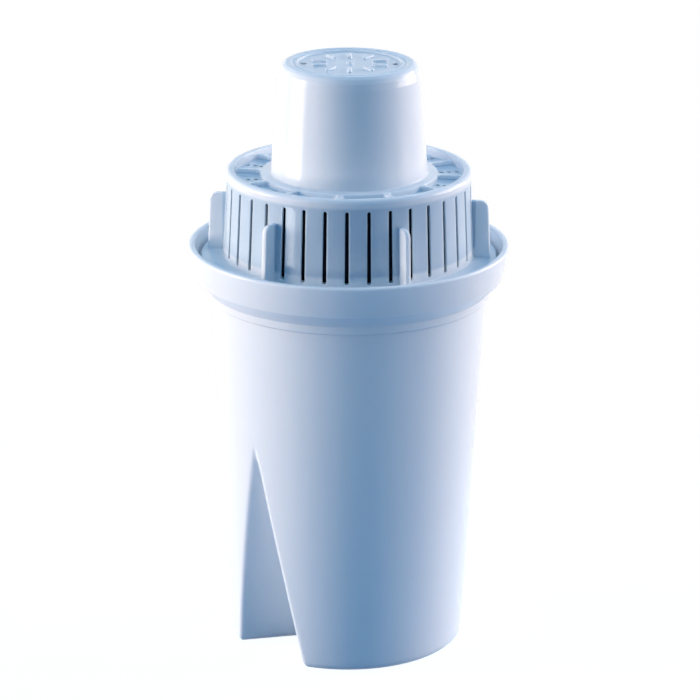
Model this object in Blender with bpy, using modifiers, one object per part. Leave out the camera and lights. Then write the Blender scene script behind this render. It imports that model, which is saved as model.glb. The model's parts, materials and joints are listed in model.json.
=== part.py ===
"""Water pitcher filter cartridge.

A moulded cup with a wedge notch in its side holds the filter bed between two
felt discs, under a moulded lid with a slotted drum and a hollow pull knob.
Metres, +Z up. The origin is the middle of the base, and the notch faces -Y.
"""
import math

import bmesh
import bpy
from mathutils import Matrix, Vector

# Turned pieces and the room that neighbours keep
TURN_STEPS = 72
ARC_STEPS = 4
MERGE_DISTANCE = 0.00001
SEAT_GAP = 0.0003
CUT_OVERRUN = 0.001

# Canister
RIM_R = 0.0325
CANISTER_HEIGHT = 0.0840
CANISTER_WALL = 0.0014
RIM_EDGE = 0.0004
BAND_HEIGHT = 0.0064
BAND_TAPER = 0.0014
SHOULDER_HEIGHT = 0.0041
SHOULDER_IN = 0.0027
NECK_STEP_HEIGHT = 0.0003
NECK_STEP_IN = 0.0005
BODY_TAPER = 0.0042
FOOT_EDGE = 0.0004
FOOT_RECESS = 0.0012
FLOOR_THICKNESS = 0.0016

# Wedge notch in the canister's side
NOTCH_HEIGHT = 0.0460
NOTCH_DEPTH = 0.0170
NOTCH_HALF_ANGLE = math.radians(23.4)
NOTCH_FILLET = 0.0008
WEDGE_REACH = 2.0
WEDGE_TIP_REACH = 0.3
WEDGE_DROP = 0.1

# Outlet slots in the floor
SLOT_WIDTH = 0.0011
SLOT_PITCH = math.radians(20)
SLOT_CLEAR_ANGLE = math.radians(15)
SLOT_EDGE_LAND = 0.0033
OUTER_SLOT_LENGTH = 0.0080
SLOT_RING_LAND = 0.0030
INNER_SLOT_LENGTH = 0.0050

# Lid: flange, skirt and drum
LID_TURN = math.radians(9)
FLANGE_CLEARANCE = 0.00195
FLANGE_THICKNESS = 0.0014
SKIRT_DEPTH = 0.0041
SKIRT_THICKNESS = 0.0013
LEDGE_WIDTH = 0.00315
DRUM_TAPER = 0.0012
DRUM_HEIGHT = 0.0176
DRUM_WALL = 0.0014
DRUM_EDGE = 0.0010
DRUM_COVE = 0.0005

# Lid: inlet slits
SLIT_COUNT = 36
SLIT_WIDTH = 0.00075
SLIT_SILL = 0.0007
SLIT_HEIGHT = 0.0145

# Lid: upright fins on the drum
FIN_COUNT = 6
FIN_INSET = 0.00015
FIN_TAPER = 0.0006
FIN_THICKNESS = 0.0011
FIN_HEIGHT = 0.0117
FIN_CORNER = 0.0017

# Lid: sunken ring of pockets in the drum's top
LIP_WIDTH = 0.0019
POCKET_WIDTH = 0.0051
COLLAR_WIDTH = 0.0020
POCKET_DEPTH = 0.0017
POCKET_FLOOR_THICKNESS = 0.0006
COLLAR_DROP = 0.0006
COLLAR_EDGE = 0.0003
RIB_COUNT = 12
RIB_THICKNESS = 0.0012
RIB_DROP = 0.0008
BLEED_HOLE_R = 0.0004
BLEED_HOLE_MARGIN = 0.0010
BLEED_HOLES_PER_POCKET = 3
BLEED_HOLE_SIDES = 6
PIN_SIDES = 12

# Lid: hollow pull knob
KNOB_TAPER = 0.00175
KNOB_HEIGHT = 0.0221
KNOB_EDGE = 0.0023
KNOB_WALL = 0.0014
DISC_LAND = 0.0002
DISC_DROP = 0.0008
DISC_THICKNESS = 0.0013
VENT_R = 0.0006
VENT_INSET = 0.0024
VENT_TURN = math.radians(126)
MARK_COUNT = 10
MARK_INSET = 0.0053
MARK_LENGTH = 0.0024
MARK_WIDTH = 0.0007
MARK_HEIGHT = 0.0003
PIP_R = 0.0006

# What the canister and the lid hold
SCREEN_THICKNESS = 0.0004
FLEECE_THICKNESS = 0.0015
HEADROOM = 0.0056

WHITE_PLASTIC = (0.82, 0.86, 0.93)
SCREEN_BLACK = (0.06, 0.06, 0.07)
FLEECE_WHITE = (0.80, 0.80, 0.78)
CARBON_BLACK = (0.05, 0.05, 0.05)


def clear_scene():
    for obj in list(bpy.data.objects):
        bpy.data.objects.remove(obj, do_unlink=True)


def new_collection(name):
    collection = bpy.data.collections.new(name)
    bpy.context.scene.collection.children.link(collection)
    return collection


def new_object(name, mesh, collection):
    obj = bpy.data.objects.new(name, mesh)
    collection.objects.link(obj)
    return obj


def as_cutter(obj):
    obj.hide_render = True
    obj.display_type = "WIRE"
    return obj


def finish(obj, colour, roughness):
    material = bpy.data.materials.new(obj.name + "_finish")
    material.use_nodes = True
    shader = material.node_tree.nodes["Principled BSDF"]
    shader.inputs["Base Color"].default_value = (*colour, 1.0)
    shader.inputs["Roughness"].default_value = roughness
    shader.inputs["Metallic"].default_value = 0.0
    obj.data.materials.append(material)


def turned(name, points, collection):
    """A body turned about Z from (radius, height) points, which run down its outer side."""
    mesh = bpy.data.meshes.new(name)
    vertices = [(radius, 0.0, height) for radius, height in points]
    edges = [(i, i + 1) for i in range(len(points) - 1)]
    mesh.from_pydata(vertices, edges, [])
    obj = new_object(name, mesh, collection)
    screw = obj.modifiers.new("Turn", "SCREW")
    screw.axis = "Z"
    screw.angle = math.tau
    screw.steps = TURN_STEPS
    screw.render_steps = TURN_STEPS
    screw.use_merge_vertices = True
    screw.merge_threshold = MERGE_DISTANCE
    screw.use_smooth_shade = True
    return obj


def closed_turned(name, points, collection):
    """A turned ring or tube, whose outline closes on itself away from the axis."""
    obj = turned(name, points, collection)
    mesh = obj.data
    mesh.edges.add(1)
    mesh.edges[-1].vertices = (len(points) - 1, 0)
    return obj


def boolean(target, tool, operation):
    modifier = target.modifiers.new(tool.name, "BOOLEAN")
    modifier.operation = operation
    modifier.solver = "EXACT"
    modifier.object = tool
    modifier.use_self = operation == "UNION"


def arc(centre_r, centre_z, radius, start, end):
    """Points on an arc; angles are measured from straight out towards straight up."""
    points = []
    for step in range(ARC_STEPS + 1):
        angle = start + (end - start) * step / ARC_STEPS
        points.append((centre_r + radius * math.cos(angle), centre_z + radius * math.sin(angle)))
    return points


def inset(points, wall):
    """The outline of a cavity that lies one wall inside an outline running down."""
    normals = []
    for (r0, z0), (r1, z1) in zip(points, points[1:]):
        length = math.hypot(r1 - r0, z1 - z0)
        normals.append(Vector(((z1 - z0) / length, (r0 - r1) / length)))
    inner = []
    for i, (radius, height) in enumerate(points):
        before = normals[max(i - 1, 0)]
        after = normals[min(i, len(normals) - 1)]
        shift = (before + after) * wall / (1 + before.dot(after))
        inner.append((radius + shift.x, height + shift.y))
    return inner


def on_line(start, end, radius):
    """Height of the line between two outline points at a radius."""
    share = (radius - start[0]) / (end[0] - start[0])
    return start[1] + (end[1] - start[1]) * share


def radius_on_line(start, end, height):
    share = (height - start[1]) / (end[1] - start[1])
    return start[0] + (end[0] - start[0]) * share


# Heights and radii that follow from the driving sizes
BAND_FOOT = (RIM_R - BAND_TAPER, CANISTER_HEIGHT - BAND_HEIGHT)
SHOULDER_FOOT = (BAND_FOOT[0] - SHOULDER_IN, BAND_FOOT[1] - SHOULDER_HEIGHT)
BODY_TOP = (SHOULDER_FOOT[0] - NECK_STEP_IN, SHOULDER_FOOT[1] - NECK_STEP_HEIGHT)
FOOT_R = BODY_TOP[0] - BODY_TAPER
FLOOR_TOP = FOOT_RECESS + FLOOR_THICKNESS
CUP_OUTLINE = [(RIM_R, CANISTER_HEIGHT), BAND_FOOT, BODY_TOP, (FOOT_R, 0.0)]
CUP_INSIDE = inset(CUP_OUTLINE, CANISTER_WALL)
FLANGE_R = RIM_R - CANISTER_WALL - FLANGE_CLEARANCE
FIN_R = FLANGE_R - FIN_INSET
DRUM_FOOT_R = FLANGE_R - LEDGE_WIDTH
DRUM_TOP_R = DRUM_FOOT_R - DRUM_TAPER
POCKET_OUTER_R = DRUM_TOP_R - LIP_WIDTH
POCKET_INNER_R = POCKET_OUTER_R - POCKET_WIDTH
KNOB_FOOT_R = POCKET_INNER_R - COLLAR_WIDTH
KNOB_TOP_R = KNOB_FOOT_R - KNOB_TAPER
DISC_R = KNOB_TOP_R - KNOB_EDGE - DISC_LAND


def cavity_radius(height):
    """Radius of the cup's inside along its tapered body."""
    return radius_on_line(CUP_INSIDE[2], CUP_INSIDE[3], height)


def notch_wedge(name, grow, collection):
    """The wedge that cuts the notch; grown, it is the notch with its own wall round it."""
    foot = Vector((0.0, -(FOOT_R - NOTCH_DEPTH), 0.0))
    apex = Vector((0.0, -radius_on_line(BODY_TOP, (FOOT_R, 0.0), NOTCH_HEIGHT), NOTCH_HEIGHT))
    corners = []
    for side in (-1, 1):
        angle = side * NOTCH_HALF_ANGLE
        corners.append(Vector((FOOT_R * math.sin(angle), -FOOT_R * math.cos(angle), 0.0)))
    valley = apex - foot
    below = foot - valley * WEDGE_DROP
    tip = apex + valley * WEDGE_TIP_REACH
    spread = []
    for corner in corners:
        spread.append(below + (corner - foot) * WEDGE_REACH)
    left_wall = (corners[0] - foot).cross(valley).normalized()
    right_wall = valley.cross(corners[1] - foot).normalized()
    inward = -(left_wall + right_wall)
    if inward.y < 0:
        inward = -inward
    shift = inward * (grow / abs(inward.dot(left_wall)))

    wedge = bmesh.new()
    places = [below, tip, *spread]
    vertices = [wedge.verts.new(place + shift) for place in places]
    bmesh.ops.convex_hull(wedge, input=vertices)
    valley_edge = [edge for edge in wedge.edges if set(edge.verts) == set(vertices[:2])]
    bmesh.ops.bevel(
        wedge, geom=valley_edge, offset=NOTCH_FILLET + grow, offset_type="OFFSET",
        segments=ARC_STEPS, profile=0.5, affect="EDGES",
    )
    bmesh.ops.recalc_face_normals(wedge, faces=wedge.faces)
    mesh = bpy.data.meshes.new(name)
    wedge.to_mesh(mesh)
    wedge.free()
    return as_cutter(new_object(name, mesh, collection))


def add_block(target, low, high, turn):
    """A box between two corners, turned about Z, added to a bmesh."""
    size = Vector(high) - Vector(low)
    middle = (Vector(high) + Vector(low)) / 2
    matrix = Matrix.Rotation(turn, 4, "Z") @ Matrix.Translation(middle) @ Matrix.Diagonal((*size, 1.0))
    bmesh.ops.create_cube(target, size=1.0, matrix=matrix)


def add_pin(target, radius, low, high, place_r, turn, sides):
    """An upright pin at a radius and a turn about Z, added to a bmesh."""
    middle = Vector((place_r, 0.0, (low + high) / 2))
    matrix = Matrix.Rotation(turn, 4, "Z") @ Matrix.Translation(middle)
    bmesh.ops.create_cone(
        target, cap_ends=True, segments=sides, radius1=radius, radius2=radius,
        depth=high - low, matrix=matrix,
    )


def add_plate(target, outline, thickness, turn):
    """An upright plate in the XZ plane from (radius, height) points, turned about Z."""
    vertices = [target.verts.new((radius, -thickness / 2, height)) for radius, height in outline]
    face = target.faces.new(vertices)
    grown = bmesh.ops.extrude_face_region(target, geom=[face])
    moved = [item for item in grown["geom"] if isinstance(item, bmesh.types.BMVert)]
    bmesh.ops.translate(target, verts=moved, vec=(0.0, thickness, 0.0))
    bmesh.ops.rotate(
        target, verts=vertices + moved, cent=(0.0, 0.0, 0.0), matrix=Matrix.Rotation(turn, 3, "Z"),
    )


def object_from_bmesh(name, shape, collection):
    bmesh.ops.recalc_face_normals(shape, faces=shape.faces)
    mesh = bpy.data.meshes.new(name)
    shape.to_mesh(mesh)
    shape.free()
    return new_object(name, mesh, collection)


def outlet_slots(collection):
    """Radial slots through the floor, all round apart from the notch."""
    cuts = bmesh.new()
    clear = NOTCH_HALF_ANGLE + SLOT_CLEAR_ANGLE
    low = FOOT_RECESS - CUT_OVERRUN
    high = FLOOR_TOP + CUT_OVERRUN
    slots = int((math.tau - 2 * clear) / SLOT_PITCH) + 1
    outer_end = FOOT_R - CANISTER_WALL - SLOT_EDGE_LAND
    outer_start = outer_end - OUTER_SLOT_LENGTH
    inner_end = outer_start - SLOT_RING_LAND
    first = math.pi - (slots - 1) * SLOT_PITCH / 2
    for k in range(slots):
        turn = first + k * SLOT_PITCH - math.pi / 2
        add_block(cuts, (outer_start, -SLOT_WIDTH / 2, low), (outer_end, SLOT_WIDTH / 2, high), turn)
        if k % 2:
            inner_start = inner_end - INNER_SLOT_LENGTH
            add_block(cuts, (inner_start, -SLOT_WIDTH / 2, low), (inner_end, SLOT_WIDTH / 2, high), turn)
    return as_cutter(object_from_bmesh("outlet_slots", cuts, collection))


def make_canister(parts, cutters):
    outline = [(0.0, CANISTER_HEIGHT)]
    outline += reversed(arc(RIM_R - RIM_EDGE, CANISTER_HEIGHT - RIM_EDGE, RIM_EDGE, 0, math.pi / 2))
    outline += [BAND_FOOT, SHOULDER_FOOT, BODY_TOP]
    outline += arc(FOOT_R - FOOT_EDGE, FOOT_EDGE, FOOT_EDGE, 0, -math.pi / 2)
    outline += [(0.0, 0.0)]
    canister = turned("canister", outline, parts)

    above = CANISTER_HEIGHT + CUT_OVERRUN
    inside = [(0.0, above), (CUP_INSIDE[0][0], above)] + CUP_INSIDE[:3]
    inside += [(cavity_radius(FLOOR_TOP), FLOOR_TOP), (0.0, FLOOR_TOP)]
    cavity = as_cutter(turned("cup_inside", inside, cutters))

    ring_r = FOOT_R - CANISTER_WALL
    hollow = [(0.0, FOOT_RECESS), (ring_r, FOOT_RECESS), (ring_r, -CUT_OVERRUN), (0.0, -CUT_OVERRUN)]
    recess = as_cutter(turned("foot_recess", hollow, cutters))

    notch = notch_wedge("notch", 0.0, cutters)
    notch_wall = notch_wedge("notch_wall", CANISTER_WALL, cutters)
    boolean(cavity, notch_wall, "DIFFERENCE")
    boolean(recess, notch_wall, "DIFFERENCE")
    boolean(canister, notch, "DIFFERENCE")
    boolean(canister, cavity, "DIFFERENCE")
    boolean(canister, recess, "DIFFERENCE")
    boolean(canister, outlet_slots(cutters), "DIFFERENCE")
    finish(canister, WHITE_PLASTIC, 0.3)
    return canister


def drum_radius(height):
    """Outer radius of the drum at a height above the flange."""
    return DRUM_FOOT_R + (DRUM_TOP_R - DRUM_FOOT_R) * height / DRUM_HEIGHT


def bevel_rise():
    """How much lower the skirt's inner edge reaches than its outer edge, as the shoulder slopes."""
    start, end = CUP_INSIDE[1], CUP_INSIDE[2]
    return on_line(start, end, FLANGE_R) - on_line(start, end, FLANGE_R - SKIRT_THICKNESS)


def lid_outline():
    """The lid's section from the middle of the knob's top, down its outside and back up inside."""
    knob_top = DRUM_HEIGHT + KNOB_HEIGHT
    disc_top = knob_top - DISC_DROP
    disc_under = disc_top - DISC_THICKNESS
    collar_top = DRUM_HEIGHT - COLLAR_DROP
    pocket_floor = DRUM_HEIGHT - POCKET_DEPTH
    pocket_under = pocket_floor - POCKET_FLOOR_THICKNESS

    points = [(0.0, disc_top), (DISC_R, disc_top), (DISC_R, knob_top)]
    points += reversed(arc(KNOB_TOP_R - KNOB_EDGE, knob_top - KNOB_EDGE, KNOB_EDGE, 0, math.pi / 2))
    points += [(KNOB_FOOT_R, collar_top)]
    points += [(POCKET_INNER_R - COLLAR_EDGE, collar_top), (POCKET_INNER_R, pocket_floor)]
    points += [(POCKET_OUTER_R, pocket_floor), (POCKET_OUTER_R, DRUM_HEIGHT)]
    points += reversed(arc(DRUM_TOP_R - DRUM_EDGE, DRUM_HEIGHT - DRUM_EDGE, DRUM_EDGE, 0, math.pi / 2))
    points += [(drum_radius(DRUM_COVE), DRUM_COVE), (DRUM_FOOT_R + DRUM_COVE, 0.0)]
    points += [(FLANGE_R, 0.0), (FLANGE_R, -SKIRT_DEPTH)]

    skirt_inner = FLANGE_R - SKIRT_THICKNESS
    points += [(skirt_inner, -SKIRT_DEPTH - bevel_rise()), (skirt_inner, -FLANGE_THICKNESS)]
    points += [(drum_radius(-FLANGE_THICKNESS) - DRUM_WALL, -FLANGE_THICKNESS)]
    points += [(drum_radius(pocket_under) - DRUM_WALL, pocket_under)]
    points += [(KNOB_FOOT_R - KNOB_WALL, pocket_under)]
    points += [(KNOB_TOP_R - KNOB_WALL, disc_under), (0.0, disc_under)]
    return points


def lid_additions(collection):
    """Fins, ribs and the small raised marks, all buried a little in the turned shell."""
    shapes = bmesh.new()
    root = DRUM_WALL / 2
    fin_top_r = FIN_R - FIN_TAPER
    fin = [(drum_radius(0) - root, -FLANGE_THICKNESS / 2), (FIN_R, -FLANGE_THICKNESS / 2)]
    fin += arc(fin_top_r - FIN_CORNER, FIN_HEIGHT - FIN_CORNER, FIN_CORNER, 0, math.pi / 2)
    fin += [(drum_radius(FIN_HEIGHT) - root, FIN_HEIGHT)]
    for k in range(FIN_COUNT):
        add_plate(shapes, fin, FIN_THICKNESS, math.tau * k / FIN_COUNT)

    buried = POCKET_FLOOR_THICKNESS / 2
    low = (POCKET_INNER_R - buried, -RIB_THICKNESS / 2, DRUM_HEIGHT - POCKET_DEPTH - buried)
    high = (POCKET_OUTER_R + buried, RIB_THICKNESS / 2, DRUM_HEIGHT - RIB_DROP)
    for k in range(RIB_COUNT):
        add_block(shapes, low, high, math.tau * k / RIB_COUNT)

    disc_top = DRUM_HEIGHT + KNOB_HEIGHT - DISC_DROP
    mark_low = disc_top - DISC_THICKNESS / 2
    mark_high = disc_top + MARK_HEIGHT
    place = DISC_R - MARK_INSET
    for k in range(MARK_COUNT):
        turn = VENT_TURN + math.tau * (k + 0.5) / MARK_COUNT
        add_block(
            shapes, (place - MARK_LENGTH / 2, -MARK_WIDTH / 2, mark_low),
            (place + MARK_LENGTH / 2, MARK_WIDTH / 2, mark_high), turn,
        )
    add_pin(shapes, PIP_R, mark_low, mark_high, 0.0, 0.0, PIN_SIDES)
    return as_cutter(object_from_bmesh("lid_additions", shapes, collection))


def lid_cuts(collection):
    """Inlet slits, bleed holes in the pockets and the knob's two air vents."""
    cuts = bmesh.new()
    low = (DRUM_TOP_R - DRUM_WALL, -SLIT_WIDTH / 2, SLIT_SILL)
    high = (DRUM_FOOT_R + CUT_OVERRUN, SLIT_WIDTH / 2, SLIT_SILL + SLIT_HEIGHT)
    for k in range(SLIT_COUNT):
        add_block(cuts, low, high, math.tau * (k + 0.5) / SLIT_COUNT)

    hole_low = DRUM_HEIGHT - POCKET_DEPTH - POCKET_FLOOR_THICKNESS - CUT_OVERRUN
    first_hole = POCKET_INNER_R + BLEED_HOLE_MARGIN
    hole_pitch = (POCKET_OUTER_R - BLEED_HOLE_MARGIN - first_hole) / (BLEED_HOLES_PER_POCKET - 1)
    for k in range(RIB_COUNT):
        turn = math.tau * (k + 0.5) / RIB_COUNT
        for row in range(BLEED_HOLES_PER_POCKET):
            place = first_hole + row * hole_pitch
            add_pin(cuts, BLEED_HOLE_R, hole_low, DRUM_HEIGHT, place, turn, BLEED_HOLE_SIDES)

    vent_high = DRUM_HEIGHT + KNOB_HEIGHT + CUT_OVERRUN
    vent_low = vent_high - DISC_DROP - DISC_THICKNESS - 2 * CUT_OVERRUN
    for side in (0, 1):
        add_pin(
            cuts, VENT_R, vent_low, vent_high, DISC_R - VENT_INSET, VENT_TURN + side * math.pi, PIN_SIDES,
        )
    return as_cutter(object_from_bmesh("lid_cuts", cuts, collection))


def lid_seat():
    """Height of the flange's top when the bevelled skirt rests on the cup's shoulder."""
    start, end = CUP_INSIDE[1], CUP_INSIDE[2]
    slope = math.hypot(start[0] - end[0], start[1] - end[1]) / (start[0] - end[0])
    return on_line(start, end, FLANGE_R) + SEAT_GAP * slope + SKIRT_DEPTH


def make_lid(parts, cutters):
    lid = turned("lid", lid_outline(), parts)
    lid.location.z = lid_seat()
    lid.rotation_euler.z = LID_TURN - math.pi / 2
    for tool, operation in ((lid_additions(cutters), "UNION"), (lid_cuts(cutters), "DIFFERENCE")):
        tool.parent = lid
        boolean(lid, tool, operation)
    finish(lid, WHITE_PLASTIC, 0.25)
    return lid


def make_inlet_screen(lid, parts):
    """A woven sleeve that stands against the inside of the drum, behind the slits."""
    top = DRUM_HEIGHT - POCKET_DEPTH - POCKET_FLOOR_THICKNESS - SEAT_GAP
    bottom = -FLANGE_THICKNESS
    clearance = DRUM_WALL + SEAT_GAP
    outer_top = drum_radius(top) - clearance
    outer_bottom = drum_radius(bottom) - clearance
    outline = [
        (outer_top, top), (outer_bottom, bottom),
        (outer_bottom - SCREEN_THICKNESS, bottom), (outer_top - SCREEN_THICKNESS, top),
    ]
    screen = closed_turned("inlet_screen", outline, parts)
    screen.parent = lid
    finish(screen, SCREEN_BLACK, 0.8)


def make_filling(parts, cutters):
    """The two felt discs and the bed between them, from the floor up to the room under the lid."""
    clear_notch = notch_wedge("notch_clearance", CANISTER_WALL + SEAT_GAP, cutters)
    bottom = FLOOR_TOP + SEAT_GAP
    stack_top = lid_seat() - SKIRT_DEPTH - bevel_rise() - HEADROOM
    bed_height = stack_top - bottom - 2 * (FLEECE_THICKNESS + SEAT_GAP)
    stack = (
        ("lower_fleece", FLEECE_THICKNESS, FLEECE_WHITE, 0.9),
        ("filter_bed", bed_height, CARBON_BLACK, 0.95),
        ("upper_fleece", FLEECE_THICKNESS, FLEECE_WHITE, 0.9),
    )
    for name, height, colour, roughness in stack:
        top = bottom + height
        outline = [
            (0.0, top), (cavity_radius(top) - SEAT_GAP, top),
            (cavity_radius(bottom) - SEAT_GAP, bottom), (0.0, bottom),
        ]
        layer = turned(name, outline, parts)
        if bottom < NOTCH_HEIGHT:
            boolean(layer, clear_notch, "DIFFERENCE")
        finish(layer, colour, roughness)
        bottom = top + SEAT_GAP


def build():
    clear_scene()
    parts = new_collection("water_filter_cartridge")
    cutters = new_collection("cutters")
    make_canister(parts, cutters)
    lid = make_lid(parts, cutters)
    make_inlet_screen(lid, parts)
    make_filling(parts, cutters)


build()
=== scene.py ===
import json
import math

import bmesh
import bpy
import numpy as np
from mathutils import Matrix, Vector

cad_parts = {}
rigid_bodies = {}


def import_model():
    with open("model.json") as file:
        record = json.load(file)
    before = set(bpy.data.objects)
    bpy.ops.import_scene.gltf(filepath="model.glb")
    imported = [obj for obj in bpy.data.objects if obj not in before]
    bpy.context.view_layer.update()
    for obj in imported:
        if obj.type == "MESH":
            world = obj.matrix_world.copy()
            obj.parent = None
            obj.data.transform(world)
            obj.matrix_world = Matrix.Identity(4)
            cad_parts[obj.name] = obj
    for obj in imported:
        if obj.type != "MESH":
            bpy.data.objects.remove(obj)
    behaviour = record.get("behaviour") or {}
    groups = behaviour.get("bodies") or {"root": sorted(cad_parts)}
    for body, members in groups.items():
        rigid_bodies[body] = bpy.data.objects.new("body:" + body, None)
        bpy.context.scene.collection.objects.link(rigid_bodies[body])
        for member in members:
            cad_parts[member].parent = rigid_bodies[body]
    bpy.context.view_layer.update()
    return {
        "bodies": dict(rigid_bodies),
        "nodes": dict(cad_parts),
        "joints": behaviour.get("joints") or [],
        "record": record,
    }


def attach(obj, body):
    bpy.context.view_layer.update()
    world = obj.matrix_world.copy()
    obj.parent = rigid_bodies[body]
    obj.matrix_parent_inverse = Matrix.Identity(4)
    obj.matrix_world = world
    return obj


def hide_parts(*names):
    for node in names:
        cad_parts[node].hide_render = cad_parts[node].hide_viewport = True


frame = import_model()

# The cup: one injection moulding in white polypropylene, 1.4 mm thick. It tapers to
# the foot, flares to a rim that hangs in the funnel, and a wedge notch in its side
# clears the funnel's ridge. Water leaves through radial slots in its floor.
MM = 0.001
CUP_WALL = 1.4
FOOT_R = 23.7
BODY_TOP_R = 27.88
BODY_TOP = 73.15
LAST_RING = 72.6
INSIDE_HIGH, INSIDE_LOW = 70, 4
FOOT_RECESS = 1.2
FOOT_WALL = 2.3
FOOT_ROUND = 1.5
FLOOR_TOP = 2.8
CREASE = 0.25
RIM_SECTION = [  # radius, height, corner radius, from the body over the rim and back inside
    (27.88, 73.15, 0.25),
    (28.42, 73.45, 0.3),
    (28.5, 75.0, 0.4),
    (31.10, 77.6, 0.5),
    (32.50, 84.0, 0.45),
    (31.05, 84.0, 0.35),
    (29.75, 78.0, 0.9),
    (26.60, 73.3, 0.6),
]
NOTCH_PEAK = 46.0
CLEAR_OF_NOTCH = 54.0
NOTCH_FOOT_TURN = math.radians(23.4)
NOTCH_DEPTH = 17.0
NOTCH_VALLEY_ROUND = 0.7
NOTCH_EDGE_ROUND = 0.65
NOTCH_SWEEP = math.radians(40)
NOTCH_RUN_OUT = 0.9
NOTCH_COLUMNS = (16, 30, 30, 16)
BACK_COLUMNS = 200
TRACE_POINTS = 2401
EDGE_POINTS = 600
SEARCH_REACH = 2
SEARCH_STEPS = 34


def around(radius, turn, height):
    """Point or points at a radius, turned from straight ahead (-Y) towards +X."""
    return np.stack([radius * np.sin(turn), -radius * np.cos(turn), height + 0 * turn], axis=-1)


def body_radius(height):
    return FOOT_R + (BODY_TOP_R - FOOT_R) * height / BODY_TOP


def notch_plane(side):
    """A point on one of the notch's two faces, and the normal that looks into the notch."""
    valley = around(FOOT_R - NOTCH_DEPTH, np.float64(0), 0)
    peak = around(body_radius(NOTCH_PEAK), np.float64(0), NOTCH_PEAK)
    corner = around(FOOT_R, np.float64(side * NOTCH_FOOT_TURN), 0)
    normal = np.cross(peak - valley, corner - valley)
    normal /= np.linalg.norm(normal)
    return valley, normal * np.sign(normal[0]) * -side


NOTCH_FACES = [notch_plane(side) for side in (-1, 1)]


def round_min(a, b, k):
    """The lesser of two distances, with the corner between them rounded to radius k."""
    return np.maximum(k, np.minimum(a, b)) - np.hypot(np.maximum(k - a, 0), np.maximum(k - b, 0))


def round_max(a, b, k):
    """The greater of two distances, with the corner between them rounded to radius k."""
    return np.minimum(-k, np.maximum(a, b)) + np.hypot(np.maximum(k + a, 0), np.maximum(k + b, 0))


def wall_radius(turn, height, inset):
    """Radius of the notched body's wall on each ray from the axis, some way inside its skin."""
    low = np.zeros_like(turn)
    high = np.full_like(turn, body_radius(height) + SEARCH_REACH)
    for _ in range(SEARCH_STEPS):
        radius = (low + high) / 2
        point = around(radius, turn, height)
        left, right = [(point - place) @ normal for place, normal in NOTCH_FACES]
        groove = round_min(left, right, NOTCH_VALLEY_ROUND)
        depth = round_max(radius - body_radius(height), groove, NOTCH_EDGE_ROUND)
        outside = depth > -inset
        high = np.where(outside, radius, high)
        low = np.where(outside, low, radius)
    return radius


def edge_turn(side, height, inset):
    """Where one face of the notch meets the wall, as a turn from straight ahead."""
    place, normal = NOTCH_FACES[0 if side < 0 else 1]
    turns = np.linspace(0, side * NOTCH_SWEEP, EDGE_POINTS)
    radius = body_radius(height) - inset
    outside = (around(radius, turns, height) - place) @ normal + inset > 0
    return turns[np.argmin(outside)] if outside[0] else 0.0


def body_ring(height, inset):
    """One ring of points round the notched body, closest where the notch turns its corners."""
    turns = np.linspace(-NOTCH_SWEEP, NOTCH_SWEEP, TRACE_POINTS)
    radii = wall_radius(turns, height, inset)
    points = around(radii, turns, height)
    steps = np.linalg.norm(np.diff(points, axis=0), axis=1)
    run = np.concatenate([[0], np.cumsum(steps)])
    left = np.interp(edge_turn(-1, height, inset), turns, run)
    right = np.interp(edge_turn(1, height, inset), turns, run)
    valley = run[np.argmin(radii)] if right - left > 1 else (left + right) / 2
    left, right = min(left, valley - NOTCH_RUN_OUT), max(right, valley + NOTCH_RUN_OUT)
    stops = []
    marks = (0, left, valley, right, run[-1])
    for part, columns in enumerate(NOTCH_COLUMNS):
        share = np.arange(columns) / columns
        if part in (1, 2):
            share = (1 - np.cos(np.pi * share)) / 2 * 0.85 + share * 0.15
        elif part == 0:
            share = 1 - (1 - share) ** 2
        else:
            share = share ** 2
        stops.append(marks[part] + (marks[part + 1] - marks[part]) * share)
    stops = np.concatenate(stops)
    front = np.stack([np.interp(stops, run, points[:, axis]) for axis in range(3)], axis=-1)
    back_turns = np.linspace(NOTCH_SWEEP, 2 * np.pi - NOTCH_SWEEP, BACK_COLUMNS + 1)[:-1]
    back = around(body_radius(height) - inset + 0 * back_turns, back_turns, height)
    return np.concatenate([front, back])


def column_turns():
    """The turn of each column above the notch, so that the rim's rings carry the body's on."""
    ring = body_ring(CLEAR_OF_NOTCH, 0)
    return np.unwrap(np.arctan2(ring[:, 0], -ring[:, 1]))


def rounded(corners, steps):
    """A section with each inner corner rounded; corners are (radius, height, corner radius).

    Where a side is short, the rounding takes just under half of it.
    """
    points = [corners[0][:2]]
    for before, here, after in zip(corners, corners[1:], corners[2:]):
        p, a, b = (np.array(c[:2], float) for c in (here, before, after))
        u, v = (a - p) / np.linalg.norm(a - p), (b - p) / np.linalg.norm(b - p)
        half = math.acos(max(-1, min(1, float(u @ v)))) / 2
        shorter = min(np.linalg.norm(a - p), np.linalg.norm(b - p))
        reach = min(here[2] / math.tan(half), 0.49 * shorter)
        size = reach * math.tan(half)
        if size < 0.01:
            points.append(tuple(p))
            continue
        middle = p + (u + v) / np.linalg.norm(u + v) * size / math.sin(half)
        start, end = p + u * reach - middle, p + v * reach - middle
        span = math.acos(max(-1, min(1, float(start @ end) / size**2)))
        for step in range(steps + 1):
            share = step / steps
            spot = math.sin((1 - share) * span) * start + math.sin(share * span) * end
            points.append(tuple(middle + spot / math.sin(span)))
    points.append(corners[-1][:2])
    return points


def skin(rings, cap_start=True, cap_end=True):
    """Quads between rings of equal length, with a flat cap at either end."""
    count = len(rings[0])
    points = np.concatenate(rings)
    faces = []
    for level in range(len(rings) - 1):
        base, above = level * count, (level + 1) * count
        for i in range(count):
            j = (i + 1) % count
            faces.append((base + i, base + j, above + j, above + i))
    if cap_start:
        faces.append(tuple(reversed(range(count))))
    if cap_end:
        faces.append(tuple(range(len(points) - count, len(points))))
    return points, faces


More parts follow.
